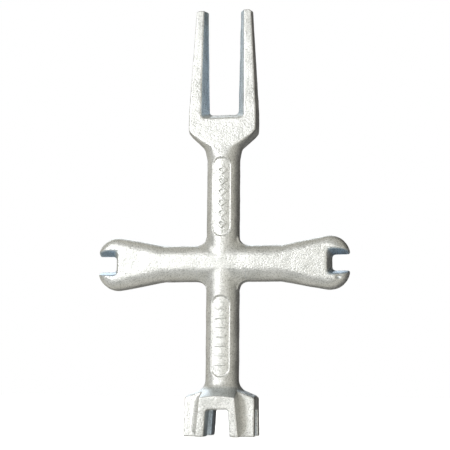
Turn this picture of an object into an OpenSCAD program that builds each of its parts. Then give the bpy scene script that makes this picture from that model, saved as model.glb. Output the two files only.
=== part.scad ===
// Four-way cast plumber's wrench: fork, cross arms with notched jaws, and a slotted four-lobed head.
// It is one sand casting, drawn here as its regions, each a closed solid that meets its neighbours
// face to face. It stands on its head: the shank runs along Z, the arms along X, and the marked
// front faces -Y. The origin is on the shank's axis, at the ends of the head's lugs.

/* [Overall] */
// Height from the lug ends to the prong tips
total_h = 216; // [205:1:230]
// Distance between the ends of the two arms
arm_span = 127; // [115:1:140]
// Height of the arms' axis
arm_z = 85.2; // [78:0.2:92]

/* [Shank] */
// Diameter of the round shank
shank_d = 16.4; // [15:0.1:18]
// Length of each marked recess
recess_l = 40; // [30:1:42]
// Width of each marked recess
recess_w = 9.2; // [7:0.1:10]
// Deepest point of each recess
recess_depth = 0.9; // [0.6:0.1:1.2]
// Height of the raised marks above the recess floor
mark_relief = 0.6; // [0.3:0.1:0.8]

/* [Arms and jaws] */
// Height of an arm along its straight stretch
arm_h = 18; // [16.5:0.1:19]
// Depth of the arms and jaws, front to back
arm_d = 16.4; // [15:0.1:17.4]
// Height of a jaw at its widest
jaw_h = 26.6; // [24:0.1:30]
// Outer radius of each jaw lip
lip_r = 10; // [8.5:0.1:10.5]
// Opening of a jaw's notch, at its narrowest
notch_w = 8.1; // [6:0.1:9]
// Depth of a jaw's notch
notch_depth = 8.8; // [7:0.1:10]

/* [Fork] */
// Width over both prongs at the shoulders
fork_w = 35.7; // [34:0.1:38]
// Width over both prong tips
tip_w = 29.2; // [27.5:0.1:30.5]
// Gap between the prongs at its bottom
gap_w = 15.1; // [14:0.1:16]
// Gap between the prong tips
gap_tip_w = 17.1; // [16:0.1:18]
// Depth of the gap
gap_depth = 54.6; // [50:0.2:58]
// Thickness of the prongs at their tips
tip_t = 6.9; // [6:0.1:8]
// Thickness of the fork at the bottom of the gap
root_t = 12.6; // [11:0.1:13]

/* [Head] */
// Width of the head across opposite lobes
head_w = 34.6; // [33:0.1:38]
// Height of the lobes' outer corners
lobe_h = 19.5; // [18:0.1:21]
// Width of a lobe at its shoulder
lobe_w = 17.4; // [16.5:0.1:18.5]
// Width of a lobe at its open end
lobe_end_w = 21.3; // [20:0.1:22.5]
// Width of the cross slots at their closed end
slot_w = 11.1; // [10:0.1:12]
// Width of the cross slots at their open end
slot_end_w = 12.7; // [12:0.1:13.5]
// Depth of the cross slots
slot_depth = 13; // [11:0.1:14]

/* [Hidden] */

$fn = 48;
blend_fn = 28; // sides of the round pieces inside a hull
slab = 0.2; // thickness of a section that a hull starts or ends on
cut = 1; // how far a cutter runs past the face it opens

zinc = [0.80, 0.81, 0.80];
zinc_shade = [0.70, 0.72, 0.72];
zinc_mark = [0.88, 0.88, 0.86];

shank_r = shank_d / 2;

// Crown: a shallow cone from the lobes' corners up to a hollow fillet round the shank
crown_slope = 0.43;
crown_z = lobe_h + crown_slope * (head_w / 2 - shank_r);
crown_fillet_r = 6;
crown_fillet_w = crown_fillet_r * (1 - crown_slope / norm([1, crown_slope]));
crown_fillet_h = crown_fillet_r * (norm([1, crown_slope]) - crown_slope);
crown_top_z = crown_z + crown_fillet_h;
lobe_spare = 6; // height left on the lobes for the crown's cone to trim
slot_corner_r = 1.5;
arc_steps = 8;

// Hub: the crossing of shank and arms, with a fillet in each corner
hub_fillet_r = 4;
hub_half_x = shank_r + hub_fillet_r;
hub_half_z = arm_h / 2 + hub_fillet_r;
fillet_d = 7;
arm_edge_r = 7;

// Jaws: each arm runs straight, then flares to two round lips
flare_x = 29.5;
arm_end = arm_span / 2;
lip_x = arm_end - lip_r;
lip_z = jaw_h / 2 - lip_r;
lip_edge_r = 5.5;
notch_x = arm_end - notch_depth;
notch_draft = 0.26; // widening of the notch per millimetre away from the middle plane
notch_corner_r = 1.7;

// Fork: thickness falls in a straight line from the neck to the tips
gap_z = total_h - gap_depth;
taper = (root_t - tip_t) / gap_depth;
neck_z = 138.2;
shoulder_low_z = 142.6;
shoulder_z = 152.6;
shoulder_drop = 1.8;
shoulder_round = 1.4;
neck_top_z = 144.2;
neck_spread = 1.3; // how far the neck's fillet stands out on each side
split_z = gap_z + 2.6;
gap_corner_r = 2;
gap_draft = 0.52; // slope of the gap's walls away from the middle plane
gap_floor_share = 0.85; // slope of the gap's floor as a share of that
wall_draft = 0.127; // slope of the fork's outer walls
tip_chamfer = 0.8;

// Recess centres and the radius of their gently crowned floors
upper_recess_z = 118.3;
lower_recess_z = 48.7;
floor_r = 12;
mark_line = 1.1; // thickness of the marks' strokes
lozenge_count = 6;
lozenge_pitch = 5.4;
lozenge_half_w = 3.1;
lozenge_half_h = 2.4;
bar_count = 7;
bar_pitch = 4.6;
bar_w = 5.2;

function thickness(z) = tip_t + (total_h - z) * taper;

// A rounded rectangle of h along X and d along Y
module rounded_rect(h, d, r)
{
    square([h, d - 2 * r], center = true);
    square([h - 2 * r, d], center = true);
    for (sx = [-1, 1])
        for (sy = [-1, 1])
            translate([sx * (h / 2 - r), sy * (d / 2 - r)])
                circle(r);
}

// Stands a flat XZ outline up and gives it a depth d, centred on Y = 0
module upright(d)
{
    rotate([90, 0, 0])
        linear_extrude(d, center = true)
            children();
}

// Lays a YZ section along X, from x = x0, for a length l
module along_x(x0, l)
{
    translate([x0, 0, 0])
        rotate([0, 90, 0])
            linear_extrude(l)
                children();
}

module stadium(l, w)
{
    square([w, l - w], center = true);
    for (s = [-1, 1])
        translate([0, s * (l - w) / 2])
            circle(w / 2);
}

// One wall of an open slot, as points [across, along]: from half_open at the height open_y to half_deep
// at the closed end deep_y, where the corner has the radius r
function slot_wall(half_open, half_deep, open_y, deep_y, r) =
    let (way_out = sign(open_y - deep_y))
    concat([[half_open, open_y]],
           [for (i = [0 : arc_steps])
               [half_deep - r * (1 - cos(90 * i / arc_steps)),
                deep_y + way_out * r * (1 - sin(90 * i / arc_steps))]]);

// The slot's whole outline, from one wall and its mirror image
module slot_outline(wall)
{
    polygon(concat(wall, [for (i = [len(wall) - 1 : -1 : 0]) [-wall[i][0], wall[i][1]]]));
}

// ---- Shank ----

// The curved floor of a recess, raised by lift
module recess_floor(z, lift)
{
    translate([0, floor_r - shank_r + recess_depth, z - recess_l])
        cylinder(r = floor_r + lift, h = 2 * recess_l);
}

module recess_prism(z)
{
    translate([0, -shank_r, z])
        upright(shank_r)
            stadium(recess_l, recess_w);
}

module shank_length(z0, z1, recess_z)
{
    difference() {
        translate([0, 0, z0])
            cylinder(r = shank_r, h = z1 - z0);
        difference() {
            recess_prism(recess_z);
            recess_floor(recess_z, 0);
        }
    }
}

// Flat outlines, drawn upright, are raised from the recess floor
module raise_marks(z)
{
    difference() {
        intersection() {
            translate([0, -shank_r, z])
                upright(shank_r)
                    children();
            recess_floor(z, mark_relief);
        }
        recess_floor(z, 0);
    }
}

// An open lozenge
module lozenge()
{
    stroke = mark_line * norm([lozenge_half_w, lozenge_half_h]);
    a = lozenge_half_w - stroke / lozenge_half_h;
    b = lozenge_half_h - stroke / lozenge_half_w;
    difference() {
        polygon([[lozenge_half_w, 0], [0, lozenge_half_h], [-lozenge_half_w, 0], [0, -lozenge_half_h]]);
        polygon([[a, 0], [0, b], [-a, 0], [0, -b]]);
    }
}

module shank_upper()
{
    color(zinc)
        shank_length(arm_z + hub_half_z, neck_z, upper_recess_z);
}

module shank_lower()
{
    color(zinc)
        shank_length(crown_top_z, arm_z - hub_half_z, lower_recess_z);
}

module upper_marks()
{
    color(zinc_mark)
        raise_marks(upper_recess_z)
            for (i = [0 : lozenge_count - 1])
                translate([0, (i - (lozenge_count - 1) / 2) * lozenge_pitch])
                    lozenge();
}

module lower_marks()
{
    color(zinc_mark)
        raise_marks(lower_recess_z)
            for (i = [0 : bar_count - 1])
                translate([0, (i - (bar_count - 1) / 2) * bar_pitch])
                    square([bar_w, mark_line], center = true);
}

// ---- Hub and arms ----

module hub_web()
{
    translate([shank_r - cut, 0, arm_h / 2 - cut])
        difference() {
            upright(fillet_d)
                square(hub_fillet_r + cut);
            translate([hub_fillet_r + cut, 0, hub_fillet_r + cut])
                rotate([90, 0, 0])
                    cylinder(r = hub_fillet_r, h = fillet_d + 2 * cut, center = true);
        }
}

module hub()
{
    color(zinc)
        translate([0, 0, arm_z]) {
            translate([0, 0, -hub_half_z])
                cylinder(r = shank_r, h = 2 * hub_half_z);
            along_x(-hub_half_x, 2 * hub_half_x)
                rounded_rect(arm_h, arm_d, arm_edge_r);
            for (mx = [0, 1])
                for (mz = [0, 1])
                    mirror([mx, 0, 0])
                        mirror([0, 0, mz])
                            hub_web();
        }
}

// A disc of radius r, standing on the XZ plane's normal, with well rounded rims
module lip_disc()
{
    rotate([90, 0, 0])
        rotate_extrude($fn = blend_fn)
            intersection() {
                rounded_rect(2 * lip_r, arm_d, lip_edge_r, $fn = blend_fn);
                translate([0, -arm_d])
                    square([lip_r, 2 * arm_d]);
            }
}

module flared_jaw()
{
    hull() {
        along_x(flare_x, slab)
            rounded_rect(arm_h, arm_d, arm_edge_r, $fn = blend_fn);
        for (s = [-1, 1])
            translate([lip_x, 0, s * lip_z])
                lip_disc();
    }
}

// The notch's outline, grown on its sides and its closed end
module notch_outline(grow)
{
    half = notch_w / 2 + grow;
    rotate([0, 90, 0])
        upright(slab)
            slot_outline(slot_wall(half, half, arm_end + cut, notch_x - grow, notch_corner_r));
}

// The notch is narrowest in the middle plane and opens towards both faces
module notch_half()
{
    hull() {
        notch_outline(0);
        translate([0, -arm_d / 2, 0])
            notch_outline(notch_draft * arm_d / 2);
    }
}

module notch()
{
    notch_half();
    mirror([0, 1, 0])
        notch_half();
}

module right_arm()
{
    translate([0, 0, arm_z]) {
        along_x(hub_half_x, flare_x - hub_half_x)
            rounded_rect(arm_h, arm_d, arm_edge_r);
        difference() {
            intersection() {
                flared_jaw();
                translate([flare_x, -arm_d, -jaw_h])
                    cube([notch_x - flare_x, 2 * arm_d, 2 * jaw_h]);
            }
            notch();
        }
    }
}

// One lip of the right jaw: side is 1 for the upper and -1 for the lower
module right_lip(side)
{
    translate([0, 0, arm_z])
        difference() {
            intersection() {
                flared_jaw();
                translate([notch_x, -arm_d, side > 0 ? 0 : -jaw_h])
                    cube([notch_depth + cut, 2 * arm_d, jaw_h]);
            }
            notch();
        }
}

module arm_right()
{
    color(zinc)
        right_arm();
}

module arm_left()
{
    color(zinc)
        mirror([1, 0, 0])
            right_arm();
}

module jaw_right_upper()
{
    color(zinc_shade)
        right_lip(1);
}

module jaw_right_lower()
{
    color(zinc_shade)
        right_lip(-1);
}

module jaw_left_upper()
{
    color(zinc_shade)
        mirror([1, 0, 0])
            right_lip(1);
}

module jaw_left_lower()
{
    color(zinc_shade)
        mirror([1, 0, 0])
            right_lip(-1);
}

// ---- Fork ----

// Section of the fork at height z: six-sided, widest in the middle plane
module fork_section(z, width, inset)
{
    half_t = thickness(z) / 2;
    face = width / 2 - wall_draft * half_t - inset;
    translate([0, 0, z - slab])
        linear_extrude(slab)
            polygon([[width / 2 - inset, 0], [face, half_t], [-face, half_t],
                     [inset - width / 2, 0], [-face, -half_t], [face, -half_t]]);
}

// Section of the neck: the shank's circle, spread sideways and cut to the fork's thickness
module neck_section(z, spread, t)
{
    translate([0, 0, z])
        linear_extrude(slab)
            intersection() {
                for (s = [-1, 1])
                    translate([s * spread, 0])
                        circle(shank_r, $fn = 2 * blend_fn);
                square([4 * shank_r, t], center = true);
            }
}

module fork_body()
{
    hull() {
        neck_section(shoulder_low_z, 0, thickness(shoulder_low_z));
        fork_section(shoulder_z - shoulder_drop, fork_w, shoulder_round);
        fork_section(shoulder_z, fork_w, 0);
        fork_section(gap_z, fork_w, 0);
        fork_section(total_h - tip_chamfer, tip_w, 0);
        fork_section(total_h, tip_w, tip_chamfer);
    }
    hull() {
        neck_section(neck_z, 0, shank_d);
        neck_section(neck_top_z, neck_spread, thickness(neck_top_z));
    }
}

// The gap's outline, grown on its sides and floor
module gap_outline(grow)
{
    upright(slab)
        slot_outline(slot_wall(gap_tip_w / 2 + grow, gap_w / 2 + grow,
                               total_h + cut, gap_z - gap_floor_share * grow, gap_corner_r));
}

// Half of the gap's cutter: its walls and floor lean outwards away from the middle plane
module gap_half()
{
    hull() {
        gap_outline(0);
        translate([0, -shank_r, 0])
            gap_outline(gap_draft * shank_r);
    }
}

module fork_blank()
{
    difference() {
        fork_body();
        gap_half();
        mirror([0, 1, 0])
            gap_half();
        // the inner corners of the two tips
        for (s = [-1, 1])
            translate([s * gap_tip_w / 2, 0, total_h])
                rotate([0, 45, 0])
                    cube([tip_chamfer, 2 * shank_r, tip_chamfer], center = true);
    }
}

module fork_part(x0, x1, z0, z1)
{
    intersection() {
        fork_blank();
        translate([x0, -fork_w / 2, z0])
            cube([x1 - x0, fork_w, z1 - z0]);
    }
}

module fork_yoke()
{
    color(zinc)
        fork_part(-fork_w, fork_w, neck_z, split_z);
}

module prong_left()
{
    color(zinc_shade)
        fork_part(-fork_w, 0, split_z, total_h + cut);
}

module prong_right()
{
    color(zinc_shade)
        fork_part(0, fork_w, split_z, total_h + cut);
}

// ---- Head ----

// A bar across the head whose sides lean outwards towards its open end
module lobe_pair()
{
    top_z = lobe_h + lobe_spare;
    flare = (lobe_end_w - lobe_w) / 2 / lobe_h;
    upright(head_w)
        polygon([[lobe_end_w / 2, 0], [lobe_end_w / 2 - flare * top_z, top_z],
                 [flare * top_z - lobe_end_w / 2, top_z], [-lobe_end_w / 2, 0]]);
}

module crown_cone()
{
    rotate_extrude()
        polygon([[0, 0], [head_w, 0], [head_w, lobe_h - crown_slope * head_w / 2],
                 [shank_r, crown_z], [0, crown_z]]);
}

// The hollow fillet between the crown and the shank
module crown_fillet()
{
    low_z = crown_z - crown_slope * crown_fillet_w;
    rotate_extrude()
        difference() {
            translate([0, low_z])
                square([shank_r + crown_fillet_w, crown_top_z - low_z]);
            translate([shank_r + crown_fillet_r, crown_top_z])
                circle(crown_fillet_r);
        }
}

// One of the two slots that cross at the head's open end
module slot()
{
    lean = (slot_end_w - slot_w) / 2 / slot_depth;
    upright(head_w + 2 * cut)
        slot_outline(slot_wall(slot_end_w / 2 + lean * cut, slot_w / 2, -cut, slot_depth, slot_corner_r));
}

module lobes()
{
    lobe_pair();
    rotate([0, 0, 90])
        lobe_pair();
}

module head_crown()
{
    color(zinc) {
        intersection() {
            lobes();
            crown_cone();
            translate([0, 0, slot_depth + head_w / 2])
                cube(head_w, center = true);
        }
        crown_fillet();
    }
}

// One quarter of the head below the closed end of the slots
module lug(x0, y0)
{
    color(zinc_shade)
        difference() {
            intersection() {
                lobes();
                translate([x0, y0, 0])
                    cube([head_w, head_w, slot_depth]);
            }
            slot();
            rotate([0, 0, 90])
                slot();
        }
}

module lug_front_left()
{
    lug(-head_w, -head_w);
}

module lug_front_right()
{
    lug(0, -head_w);
}

module lug_back_left()
{
    lug(-head_w, 0);
}

module lug_back_right()
{
    lug(0, 0);
}

shank_upper();
shank_lower();
upper_marks();
lower_marks();
hub();
arm_left();
arm_right();
jaw_left_upper();
jaw_left_lower();
jaw_right_upper();
jaw_right_lower();
fork_yoke();
prong_left();
prong_right();
head_crown();
lug_front_left();
lug_front_right();
lug_back_left();
lug_back_right();
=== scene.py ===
"""Looks of a four-way cast plumber's wrench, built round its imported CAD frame.

The wrench is one zinc-plated sand casting, so its skin is made in one go: a merged copy of the CAD regions
is remeshed, its edges are rounded as a mould rounds them, the sand's grain is raised on it, and it is then
sawn near the CAD borders into one closed piece for each region.
"""

import math

import bpy
from mathutils import Matrix, Vector


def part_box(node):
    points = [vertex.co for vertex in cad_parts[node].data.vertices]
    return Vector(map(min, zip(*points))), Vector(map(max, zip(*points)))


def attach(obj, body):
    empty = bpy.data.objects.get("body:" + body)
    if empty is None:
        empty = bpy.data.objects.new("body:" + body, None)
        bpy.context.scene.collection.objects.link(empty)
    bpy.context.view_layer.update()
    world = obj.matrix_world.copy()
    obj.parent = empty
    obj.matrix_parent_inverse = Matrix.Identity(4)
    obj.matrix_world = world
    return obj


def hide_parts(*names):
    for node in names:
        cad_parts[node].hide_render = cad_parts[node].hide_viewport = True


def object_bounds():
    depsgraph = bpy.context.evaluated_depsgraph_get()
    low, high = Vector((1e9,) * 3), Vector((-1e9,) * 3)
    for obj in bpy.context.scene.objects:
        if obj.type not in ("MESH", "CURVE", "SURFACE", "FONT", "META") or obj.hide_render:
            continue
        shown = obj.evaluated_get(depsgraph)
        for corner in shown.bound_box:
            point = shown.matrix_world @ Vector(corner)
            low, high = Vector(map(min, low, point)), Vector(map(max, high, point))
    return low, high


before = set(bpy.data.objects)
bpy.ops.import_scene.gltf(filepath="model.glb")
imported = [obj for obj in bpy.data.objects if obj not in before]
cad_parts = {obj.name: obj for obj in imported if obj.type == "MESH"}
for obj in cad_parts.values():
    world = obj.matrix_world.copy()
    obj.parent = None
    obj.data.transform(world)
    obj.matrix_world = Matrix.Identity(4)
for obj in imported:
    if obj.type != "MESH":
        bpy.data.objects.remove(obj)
cad_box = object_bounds()

MM = 0.001
SLOT = "zinc_plated_casting"
MARKS = ["upper_marks", "lower_marks"]
REGIONS = sorted(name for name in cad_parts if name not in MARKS)

# ---- Places on the wrench, read from the CAD regions' boxes ----
HUB_LOW, HUB_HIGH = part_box("hub")
HUB_Z = (HUB_LOW.z + HUB_HIGH.z) / 2
HEAD_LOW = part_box("head_crown")[0].z
HEAD_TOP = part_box("head_crown")[1].z
YOKE_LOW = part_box("fork_yoke")[0].z
YOKE_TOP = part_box("fork_yoke")[1].z
TIP_Z = cad_box[1].z
ARM_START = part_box("arm_right")[0].x
JAW_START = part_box("jaw_right_upper")[0].x
MARK_BOXES = [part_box(marks) for marks in MARKS]

# ---- Zones of the casting: each pair is where an effect starts and where it is full ----
HUB_ZONE = (13.4 * MM, 10.4 * MM)       # above and below the arms' middle line
HUB_SIDE = (19 * MM, 15 * MM)           # out from the shank's middle line
FLARE_START = (17 * MM, 23 * MM)        # out along the arms
FLARE_END = (47 * MM, 41 * MM)
ARM_ZONE = 20 * MM                      # the arms and jaws lie this near to the arms' middle line
NECK_START = (0.5 * MM, 4 * MM)         # up from the foot of the fork's yoke
NECK_END = (158 * MM, 152 * MM)         # up from the lug ends
GROOVE_FADE = 3 * MM                    # below the head's top
GROOVE_SIDE = (6 * MM, 7.5 * MM)        # out from both slots' middle lines
RECESS_HALF_WIDTH = 6.2 * MM
RECESS_REACH = 7 * MM                   # above and below a row of marks
RECESS_FRONT = -3 * MM
TIP_ZONE = (6 * MM, 3 * MM)             # below the prongs' tips
JAW_ZONE = (10 * MM, 4 * MM)            # before the jaw lips
CROWN_SLOPE = (0.45, 0.8)               # how far a face of the crown looks up

# ---- The casting's skin: voxels, smoothing passes and how well edges last ----
WELD = 0.002 * MM
FILLET_VOXEL = 0.8 * MM
FILLET_PASSES = 45
GROOVE_PASSES = 110
FILLET_SHRINK = 0.8 * MM
SKIN_VOXEL = 0.30 * MM
ROUNDING_PASSES = 16
JAW_PASSES = 45
RIM_SHARPNESS = 0.6
TIP_SHARPNESS = 0.75
PARTING_HALF_WIDTH = 0.45 * MM
PARTING_RIDGE = 0.25 * MM
SAW_CLEARANCE = 2.2 * MM
MARK_VOXEL = 0.14 * MM
MARK_GROWTH = 0.13 * MM
MARK_PASSES = 6
SMOOTH_BELOW = math.radians(70)

# ---- Flaws: a dent's x, z, radius and depth; an unevenness's grain, noise depth and height ----
DENTS = [(58.2 * MM, 77.6 * MM, 1.4 * MM, 0.85 * MM), (50.6 * MM, 92.8 * MM, 0.7 * MM, 0.4 * MM)]
DENT_FALL = 1.5
UNEVENNESS = {"waves": (9 * MM, 1, 0.30 * MM),
              "lumps": (2.6 * MM, 2, 0.06 * MM),
              "sand": (0.55 * MM, 2, 0.13 * MM)}
MARK_UNEVENNESS = {"mark_sand": (0.7 * MM, 2, 0.08 * MM)}

# ---- Zinc: its two tones, what the grain's hollows take off, the painted bluish shade and painted reflection, and its roughness ----
DULL_ZINC = (0.74, 0.745, 0.72, 1)
BRIGHT_ZINC = (0.90, 0.90, 0.88, 1)
TONE_STOPS = (0.30, 0.70)
GRAIN_HOLLOW_TINT = (0.60, 0.61, 0.60, 1)
# painted shade: a bluish darkening multiplied into walls that face the middle of the wrench and into the
# crown's top
PAINTED_SHADE_AND_REFLECTION_TINT = (0.68, 0.82, 0.98, 1)
# how strongly a painted bluish sky reflection is laid on the crown's faces that look up
CROWN_PAINTED_REFLECTION = 0.30
ZINC_METALLIC = 0.9
ZINC_ROUGHNESS = (0.35, 0.49)
CLOUDINESS_PER_METRE = 130.0
GRAINS_PER_METRE = 1700.0
PITS_PER_METRE = 500.0
PIT_RIM = (0.10, 0.34)
PIT_SHARE = 0.5
GRAIN_HOLLOWS = (0.52, 0.34)
BUMP_STRENGTH = 0.9
BUMP_DEPTH = 0.15 * MM

# ---- Camera: the angle that the wrench is seen from ----
VIEW_AZIMUTH = math.radians(9.0)
VIEW_ELEVATION = math.radians(-8.0)
VIEW_ROLL = math.radians(0.4)
VIEW_DISTANCE = 598 * MM
VIEW_TARGET = Vector((0.8, 0, 104.8)) * MM
LENS = 94.9
NEAREST_SEEN = 0.01

# ---- Studio: the room's tints from the front round to the dark end behind, its paper and its softboxes ----
DARK_END = (0.42, 0.90, 0.0)
ROOM_TINTS = {0.0: (0.36, 0.37, 0.37, 1), 0.58: (0.55, 0.53, 0.46, 1), 0.84: (0.012, 0.011, 0.011, 1)}
WHITE = (1, 1, 1, 1)
FLOOR_SIZE = 8
PAPER = (0.93, 0.93, 0.93, 1)
PAPER_ROUGHNESS = 0.9
PAPER_GLOW = 0.78
SOFTBOXES = {
    "key": {"location": (-0.52, -0.88, 0.36), "size": (0.42, 0.70), "watts": 4.9, "colour": (1, 1, 1)},
    "fill": {"location": (0.25, -0.95, 0.05), "size": (0.5, 0.5), "watts": 0.9, "colour": (1.0, 0.97, 0.88)},
    "back": {"location": (-0.30, 0.85, 0.62), "size": (0.7, 0.5), "watts": 3.0, "colour": (0.88, 0.94, 1.0)},
}


# ---- Bench work: small helpers round Blender's operators ----

def deselect():
    """Leaves nothing selected, out of edit mode."""
    if bpy.context.object and bpy.context.object.mode != "OBJECT":
        bpy.ops.object.mode_set(mode="OBJECT")
    bpy.ops.object.select_all(action="DESELECT")


def activate(obj):
    """Makes one piece the only selected one."""
    deselect()
    obj.select_set(True)
    bpy.context.view_layer.objects.active = obj


def edit_all(obj):
    """Opens a piece in edit mode with everything on it selected."""
    activate(obj)
    bpy.ops.object.mode_set(mode="EDIT")
    bpy.ops.mesh.select_all(action="SELECT")


def apply(obj, kind, **settings):
    """Adds one modifier with its settings and applies it."""
    activate(obj)
    modifier = obj.modifiers.new(kind.lower(), kind)
    for key, value in settings.items():
        setattr(modifier, key, value)
    bpy.ops.object.modifier_apply(modifier=modifier.name)


def remesh(obj, voxel):
    """Casts a piece anew, as one closed skin."""
    apply(obj, "REMESH", mode="VOXEL", voxel_size=voxel)


def smooth(obj, passes, group=""):
    """Rounds a piece, as strongly as a vertex group says."""
    apply(obj, "SMOOTH", factor=0.5, iterations=passes, vertex_group=group)


def push_out(obj, distance, group):
    """Moves a surface along its normals by a distance, as strongly as a vertex group says."""
    apply(obj, "DISPLACE", strength=distance, mid_level=0.0, vertex_group=group)


def roughen(obj, unevenness):
    """Raises and sinks a surface by half of each height, in clouds of each grain."""
    for name, (grain, noise_depth, height) in unevenness.items():
        clouds = bpy.data.textures.new(name, "CLOUDS")
        clouds.noise_scale = grain
        clouds.noise_depth = noise_depth
        apply(obj, "DISPLACE", texture=clouds, texture_coords="LOCAL", strength=height, mid_level=0.5)


def weigh(obj, name, weight):
    """A vertex group whose weights follow weight(position, normal)."""
    group = obj.vertex_groups.new(name=name)
    for vertex in obj.data.vertices:
        w = weight(vertex.co, vertex.normal)
        if w > 0.01:
            group.add([vertex.index], min(w, 1.0), "REPLACE")
    return name


def copy_of(nodes, name):
    """One merged copy of several CAD regions."""
    deselect()
    for node in nodes:
        copy = bpy.data.objects.new(name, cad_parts[node].data.copy())
        bpy.context.scene.collection.objects.link(copy)
        copy.data.materials.clear()
        copy.select_set(True)
        bpy.context.view_layer.objects.active = copy
    if len(nodes) > 1:
        bpy.ops.object.join()
    joined = bpy.context.object
    joined.name = name
    edit_all(joined)
    bpy.ops.mesh.remove_doubles(threshold=WELD)
    bpy.ops.object.mode_set(mode="OBJECT")
    return joined


# ---- Where on the casting: weights from 0 to 1 by a place and its normal ----

def step(value, low, high):
    """0 below low, 1 above high and a smooth rise between them; falls when high is the lower one."""
    t = min(max((value - low) / (high - low), 0.0), 1.0)
    return t * t * (3 - 2 * t)


def in_groove(co, normal):
    """1 in the four hollows between the head's lobes, and 0 elsewhere."""
    return step(co.z, HEAD_TOP, HEAD_TOP - GROOVE_FADE) * step(min(abs(co.x), abs(co.y)), *GROOVE_SIDE)


def run_together(co, normal):
    """Where one shape flows into the next: hub corners, arm flares, neck and the head's grooves."""
    x, dz = abs(co.x), abs(co.z - HUB_Z)
    hub = step(dz, *HUB_ZONE) * step(x, *HUB_SIDE)
    flare = step(x, *FLARE_START) * step(x, *FLARE_END)
    neck = step(co.z, YOKE_LOW + NECK_START[0], YOKE_LOW + NECK_START[1]) * step(co.z, *NECK_END)
    return max(hub, flare if dz < ARM_ZONE else 0.0, neck, in_groove(co, normal))


def near_recess(co):
    """1 on the front of the shank round a recess, and 0 elsewhere."""
    if abs(co.x) > RECESS_HALF_WIDTH or co.y > RECESS_FRONT:
        return 0.0
    return float(any(low.z - RECESS_REACH < co.z < high.z + RECESS_REACH for low, high in MARK_BOXES))


def rounded(co, normal):
    """How far an edge is worn round here: less at the rims of the recesses and at the prongs' tips."""
    rim = RIM_SHARPNESS * near_recess(co)
    tip = TIP_SHARPNESS * step(co.z, TIP_Z - TIP_ZONE[0], TIP_Z - TIP_ZONE[1])
    return 1 - max(rim, tip)


def on_jaws(co, normal):
    """1 on the jaw lips and the arms' ends, and 0 elsewhere."""
    return step(abs(co.x), JAW_START - JAW_ZONE[0], JAW_START - JAW_ZONE[1])


def on_parting_line(co, normal):
    """Strongest in the middle plane, where the two halves of the mould met."""
    side_on = 1 - abs(normal.y)
    return side_on * math.exp(-(co.y / PARTING_HALF_WIDTH) ** 2)


# ---- The skin of the casting ----

def dent(obj, x, z, radius, depth):
    """A shallow round hollow in the front, left by a loose grain or a gas bubble in the mould."""

    def weight(co, normal):
        off = math.hypot(co.x - x, co.z - z) / radius
        return math.exp(-DENT_FALL * off ** 2) if normal.y < -0.2 else 0.0

    push_out(obj, -depth, weigh(obj, "dent", weight))


def make_fillets():
    """A coarse copy of the casting, melted where shapes meet, that stands proud only in hollow corners."""
    fillets = copy_of(REGIONS, "fillets")
    remesh(fillets, FILLET_VOXEL)
    melted = weigh(fillets, "melted", run_together)
    solid = weigh(fillets, "solid", lambda co, normal: 1 - run_together(co, normal))
    grooves = weigh(fillets, "grooves", in_groove)
    smooth(fillets, FILLET_PASSES, melted)
    smooth(fillets, GROOVE_PASSES, grooves)
    push_out(fillets, -FILLET_SHRINK, solid)
    return fillets


def make_skin():
    """The whole casting as one closed skin."""
    fillets = make_fillets()
    skin = copy_of(REGIONS, "skin")
    fillets.select_set(True)
    bpy.ops.object.join()
    skin.vertex_groups.clear()
    remesh(skin, SKIN_VOXEL)
    smooth(skin, ROUNDING_PASSES, weigh(skin, "rounded", rounded))
    smooth(skin, JAW_PASSES, weigh(skin, "jaws", on_jaws))
    push_out(skin, PARTING_RIDGE, weigh(skin, "parting_line", on_parting_line))
    for x, z, radius, depth in DENTS:
        dent(skin, x, z, radius, depth)
    roughen(skin, UNEVENNESS)
    return skin


def make_marks(node):
    """The raised marks of one recess, sunk a little into its floor and worn round."""
    marks = copy_of([node], node + "_relief")
    edit_all(marks)
    bpy.ops.transform.shrink_fatten(value=MARK_GROWTH)
    bpy.ops.object.mode_set(mode="OBJECT")
    remesh(marks, MARK_VOXEL)
    smooth(marks, MARK_PASSES)
    roughen(marks, MARK_UNEVENNESS)
    return marks


# ---- Sawing the skin into one piece for each region ----

def saw(block, point, normal):
    """Cuts a block by a plane into two closed pieces: behind the plane and ahead of it."""
    ahead = block
    behind = block.copy()
    behind.data = block.data.copy()
    bpy.context.scene.collection.objects.link(behind)
    for piece, side in ((behind, "clear_outer"), (ahead, "clear_inner")):
        edit_all(piece)
        bpy.ops.mesh.bisect(plane_co=point, plane_no=normal, use_fill=True, **{side: True})
        bpy.ops.object.mode_set(mode="OBJECT")
    return behind, ahead


def saw_level(block, z):
    """Cuts a block level at a height: the piece below and the piece above."""
    return saw(block, (0, 0, z), (0, 0, 1))


def saw_upright(block, x):
    """Cuts a block upright at a place along the arms: the piece on the left and the piece on the right."""
    return saw(block, (x, 0, 0), (1, 0, 0))


def loose_parts(block):
    """The closed bodies that a block falls into."""
    activate(block)
    bpy.ops.mesh.separate(type="LOOSE")
    return list(bpy.context.selected_objects)


def middle(obj):
    """The mean place of a piece's vertices."""
    total = Vector()
    for vertex in obj.data.vertices:
        total += vertex.co
    return total / len(obj.data.vertices)


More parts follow.
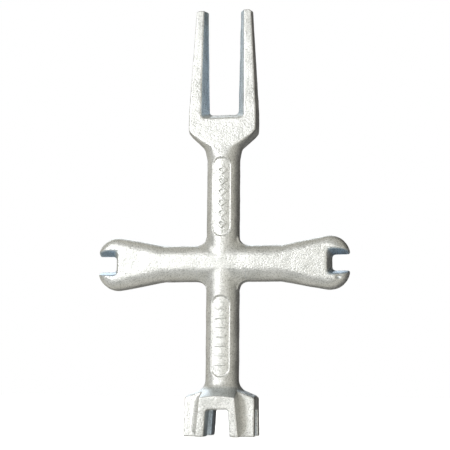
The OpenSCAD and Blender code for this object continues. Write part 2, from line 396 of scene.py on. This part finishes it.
def saw_up(skin):
    """Every region's own piece, by the region's name."""
    pieces = {}
    lugs, rest = saw_level(skin, HEAD_LOW - SAW_CLEARANCE)
    pieces["head_crown"], rest = saw_level(rest, HEAD_TOP)
    cross, rest = saw_level(rest, YOKE_LOW)
    pieces["fork_yoke"], prongs = saw_level(rest, YOKE_TOP)
    jaws_left, rest = saw_upright(cross, -JAW_START - SAW_CLEARANCE)
    pieces["arm_left"], rest = saw_upright(rest, HUB_LOW.x)
    column, rest = saw_upright(rest, HUB_HIGH.x)
    pieces["arm_right"], jaws_right = saw_upright(rest, JAW_START + SAW_CLEARANCE)
    pieces["shank_lower"], rest = saw_level(column, HUB_LOW.z)
    pieces["hub"], pieces["shank_upper"] = saw_level(rest, HUB_HIGH.z)
    for part in loose_parts(lugs):
        at = middle(part)
        pieces["lug_" + ("front_" if at.y < 0 else "back_") + ("left" if at.x < 0 else "right")] = part
    for part in loose_parts(prongs):
        pieces["prong_left" if middle(part).x < 0 else "prong_right"] = part
    for side, jaws in (("left", jaws_left), ("right", jaws_right)):
        for part in loose_parts(jaws):
            pieces[f"jaw_{side}_" + ("upper" if middle(part).z > HUB_Z else "lower")] = part
    return pieces


# ---- Finish ----

def add_node(tree, kind, inputs=None, **settings):
    """A new shader node; each input is given a plain value or the output that feeds it."""
    node = tree.nodes.new("ShaderNode" + kind)
    for key, value in settings.items():
        setattr(node, key, value)
    for key, value in (inputs or {}).items():
        if isinstance(value, bpy.types.NodeSocket):
            tree.links.new(value, node.inputs[key])
        else:
            node.inputs[key].default_value = value
    return node


def add_ramp(tree, factor, stops):
    """A colour ramp from {position: colour}, in rising order, along a factor."""
    node = add_node(tree, "ValToRGB", {"Fac": factor})
    elements = node.color_ramp.elements
    positions = list(stops)
    elements[0].position, elements[1].position = positions[0], positions[-1]
    elements[0].color, elements[1].color = stops[positions[0]], stops[positions[-1]]
    for position in positions[1:-1]:
        elements.new(position).color = stops[position]
    return node.outputs["Color"]


def add_tint(tree, colour, tint, amount):
    """A colour multiplied by a tint, by an amount that changes over the surface."""
    node = add_node(tree, "Mix", {"Factor": amount, "A": colour, "B": tint}, data_type="RGBA",
                    blend_type="MULTIPLY")
    return node.outputs["Result"]


def sand_grain_group():
    """Fine sand-cast grain: a height and a mask of its hollows, at a given grain size."""
    group = bpy.data.node_groups.new("sand_grain", "ShaderNodeTree")
    for key, value in {"Grains per metre": GRAINS_PER_METRE, "Pits per metre": PITS_PER_METRE}.items():
        socket = group.interface.new_socket(key, in_out="INPUT", socket_type="NodeSocketFloat")
        socket.default_value = value
    for key in ("Height", "Hollows"):
        group.interface.new_socket(key, in_out="OUTPUT", socket_type="NodeSocketFloat")
    given = group.nodes.new("NodeGroupInput")
    out = group.nodes.new("NodeGroupOutput")
    place = add_node(group, "TexCoord").outputs["Object"]
    grain = add_node(group, "TexNoise", {"Vector": place, "Scale": given.outputs["Grains per metre"],
                                         "Detail": 3.0, "Roughness": 0.6}).outputs["Fac"]
    pits = add_node(group, "TexVoronoi", {"Vector": place, "Scale": given.outputs["Pits per metre"]})
    pit = add_node(group, "MapRange", {"Value": pits.outputs["Distance"], "From Min": PIT_RIM[0],
                                       "From Max": PIT_RIM[1]})
    height = add_node(group, "Math", {0: pit.outputs["Result"], 1: PIT_SHARE, 2: grain},
                      operation="MULTIPLY_ADD")
    hollows = add_node(group, "MapRange", {"Value": grain, "From Min": GRAIN_HOLLOWS[0],
                                           "From Max": GRAIN_HOLLOWS[1]})
    group.links.new(height.outputs[0], out.inputs["Height"])
    group.links.new(hollows.outputs["Result"], out.inputs["Hollows"])
    return group


def zinc_material(grain_group):
    """Zinc plating on a sand casting: cloudy grey-white metal, dull in its grain, with painted bluish shade
    on walls that face the middle and a painted bluish reflection on the crown's top.
    """
    material = bpy.data.materials.new(SLOT)
    material.use_nodes = True
    tree = material.node_tree
    shader = tree.nodes["Principled BSDF"]
    shader.inputs["Metallic"].default_value = ZINC_METALLIC
    grain = add_node(tree, "Group", node_tree=grain_group)
    place = add_node(tree, "TexCoord").outputs["Object"]
    cloudiness = add_node(tree, "TexNoise", {"Vector": place, "Scale": CLOUDINESS_PER_METRE,
                                             "Detail": 4.0}).outputs["Fac"]
    tone = add_ramp(tree, cloudiness, dict(zip(TONE_STOPS, (DULL_ZINC, BRIGHT_ZINC))))
    dulled = add_tint(tree, tone, GRAIN_HOLLOW_TINT, grain.outputs["Hollows"])
    # painted shade and painted bluish reflection, as recorded in the hollows attribute
    painted_shade = add_node(tree, "Attribute", attribute_name="hollows").outputs["Fac"]
    tone_with_painted_shade = add_tint(tree, dulled, PAINTED_SHADE_AND_REFLECTION_TINT, painted_shade)
    rough = add_node(tree, "MapRange", {"Value": cloudiness, "To Min": ZINC_ROUGHNESS[0],
                                        "To Max": ZINC_ROUGHNESS[1]})
    bump = add_node(tree, "Bump", {"Height": grain.outputs["Height"], "Strength": BUMP_STRENGTH,
                                   "Distance": BUMP_DEPTH})
    tree.links.new(tone_with_painted_shade, shader.inputs["Base Color"])
    tree.links.new(rough.outputs["Result"], shader.inputs["Roughness"])
    tree.links.new(bump.outputs["Normal"], shader.inputs["Normal"])
    return material


def paint_shade_in_hollows(piece):
    """Records where shade and a bluish reflection are painted: walls that face the middle of the wrench get
    painted shade, and the crown's top gets a painted sky reflection.
    """
    # the hollows attribute holds painted shade on inner walls and a painted sky reflection on the crown's
    # top
    hollows = piece.data.attributes.new("hollows", "FLOAT", "POINT")
    values = []
    for vertex in piece.data.vertices:
        co = vertex.co
        on_arm = abs(co.x) > ARM_START and abs(co.z - HUB_Z) < ARM_ZONE
        out = Vector((0, 0, co.z - HUB_Z)) if on_arm else Vector((co.x, co.y, 0))
        # painted bluish sky reflection on faces of the crown that look up
        crown_reflection = CROWN_PAINTED_REFLECTION * step(vertex.normal.z, *CROWN_SLOPE) if co.z < HEAD_TOP else 0.0
        values.append(max(crown_reflection, -vertex.normal.dot(out.normalized())))
    hollows.data.foreach_set("value", values)


def finish_piece(piece, name, node, material):
    """Names and plates one piece and puts it in the place of its CAD region."""
    piece.name = name
    piece.data.name = name
    piece.vertex_groups.clear()
    piece.data.materials.clear()
    piece.data.materials.append(material)
    paint_shade_in_hollows(piece)
    activate(piece)
    bpy.ops.object.shade_smooth_by_angle(angle=SMOOTH_BELOW)
    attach(piece, "root")
    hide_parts(node)


# ---- Studio ----

def aim(obj, location, target):
    """Stands a camera or a lamp at a place and turns it to a target."""
    obj.location = location
    obj.rotation_euler = (Vector(target) - Vector(location)).to_track_quat("-Z", "Y").to_euler()


def set_camera():
    """A camera a little below the wrench and to its right, rolled by a hair."""
    camera = bpy.data.objects.new("camera", bpy.data.cameras.new("camera"))
    bpy.context.scene.collection.objects.link(camera)
    camera.data.lens = LENS
    camera.data.clip_start = NEAREST_SEEN
    away = Vector((math.sin(VIEW_AZIMUTH) * math.cos(VIEW_ELEVATION),
                   -math.cos(VIEW_AZIMUTH) * math.cos(VIEW_ELEVATION), math.sin(VIEW_ELEVATION)))
    aim(camera, VIEW_TARGET + VIEW_DISTANCE * away, VIEW_TARGET)
    bpy.context.view_layer.update()
    camera.matrix_world = camera.matrix_world @ Matrix.Rotation(VIEW_ROLL, 4, "Z")
    bpy.context.scene.camera = camera


def softbox(name, location, size, watts, colour):
    """A rectangular lamp, size wide and high, turned to the wrench."""
    light = bpy.data.objects.new(name, bpy.data.lights.new(name, "AREA"))
    bpy.context.scene.collection.objects.link(light)
    light.data.shape = "RECTANGLE"
    light.data.size, light.data.size_y = size
    light.data.energy = watts
    light.data.color = colour
    aim(light, location, VIEW_TARGET)


def set_world():
    """White paper where the camera looks past the wrench; a room that darkens to the back lights it."""
    world = bpy.data.worlds.new("studio")
    bpy.context.scene.world = world
    world.use_nodes = True
    tree = world.node_tree
    room = tree.nodes["Background"]
    direction = add_node(tree, "TexCoord").outputs["Generated"]
    towards_dark = add_node(tree, "VectorMath", {0: direction, 1: DARK_END}, operation="DOT_PRODUCT")
    share = add_node(tree, "MapRange", {"Value": towards_dark.outputs["Value"], "From Min": -1.0})
    tree.links.new(add_ramp(tree, share.outputs["Result"], ROOM_TINTS), room.inputs["Color"])
    paper = add_node(tree, "Background", {"Color": WHITE})
    seen = add_node(tree, "LightPath").outputs["Is Camera Ray"]
    choice = add_node(tree, "MixShader", {"Fac": seen, 1: room.outputs["Background"],
                                          2: paper.outputs["Background"]})
    tree.links.new(choice.outputs["Shader"], tree.nodes["World Output"].inputs["Surface"])


def set_floor():
    """A wide sheet of pale paper, lit a little from within, that leaves no reflection on the metal."""
    deselect()
    bpy.ops.mesh.primitive_plane_add(size=FLOOR_SIZE)
    floor = bpy.context.object
    floor.name = "floor"
    paper = bpy.data.materials.new("pale_paper")
    paper.use_nodes = True
    inputs = paper.node_tree.nodes["Principled BSDF"].inputs
    inputs["Base Color"].default_value = PAPER
    inputs["Roughness"].default_value = PAPER_ROUGHNESS
    inputs["Emission Color"].default_value = WHITE
    inputs["Emission Strength"].default_value = PAPER_GLOW
    floor.data.materials.append(paper)
    floor.visible_glossy = False


# ---- The wrench and its studio ----

zinc = zinc_material(sand_grain_group())
for region, piece in saw_up(make_skin()).items():
    finish_piece(piece, "cast_" + region, region, zinc)
for marks in MARKS:
    finish_piece(make_marks(marks), "cast_" + marks, marks, zinc)

set_camera()
set_world()
set_floor()
for name, box in SOFTBOXES.items():
    softbox(name, **box)
bpy.context.scene.view_settings.view_transform = "Standard"
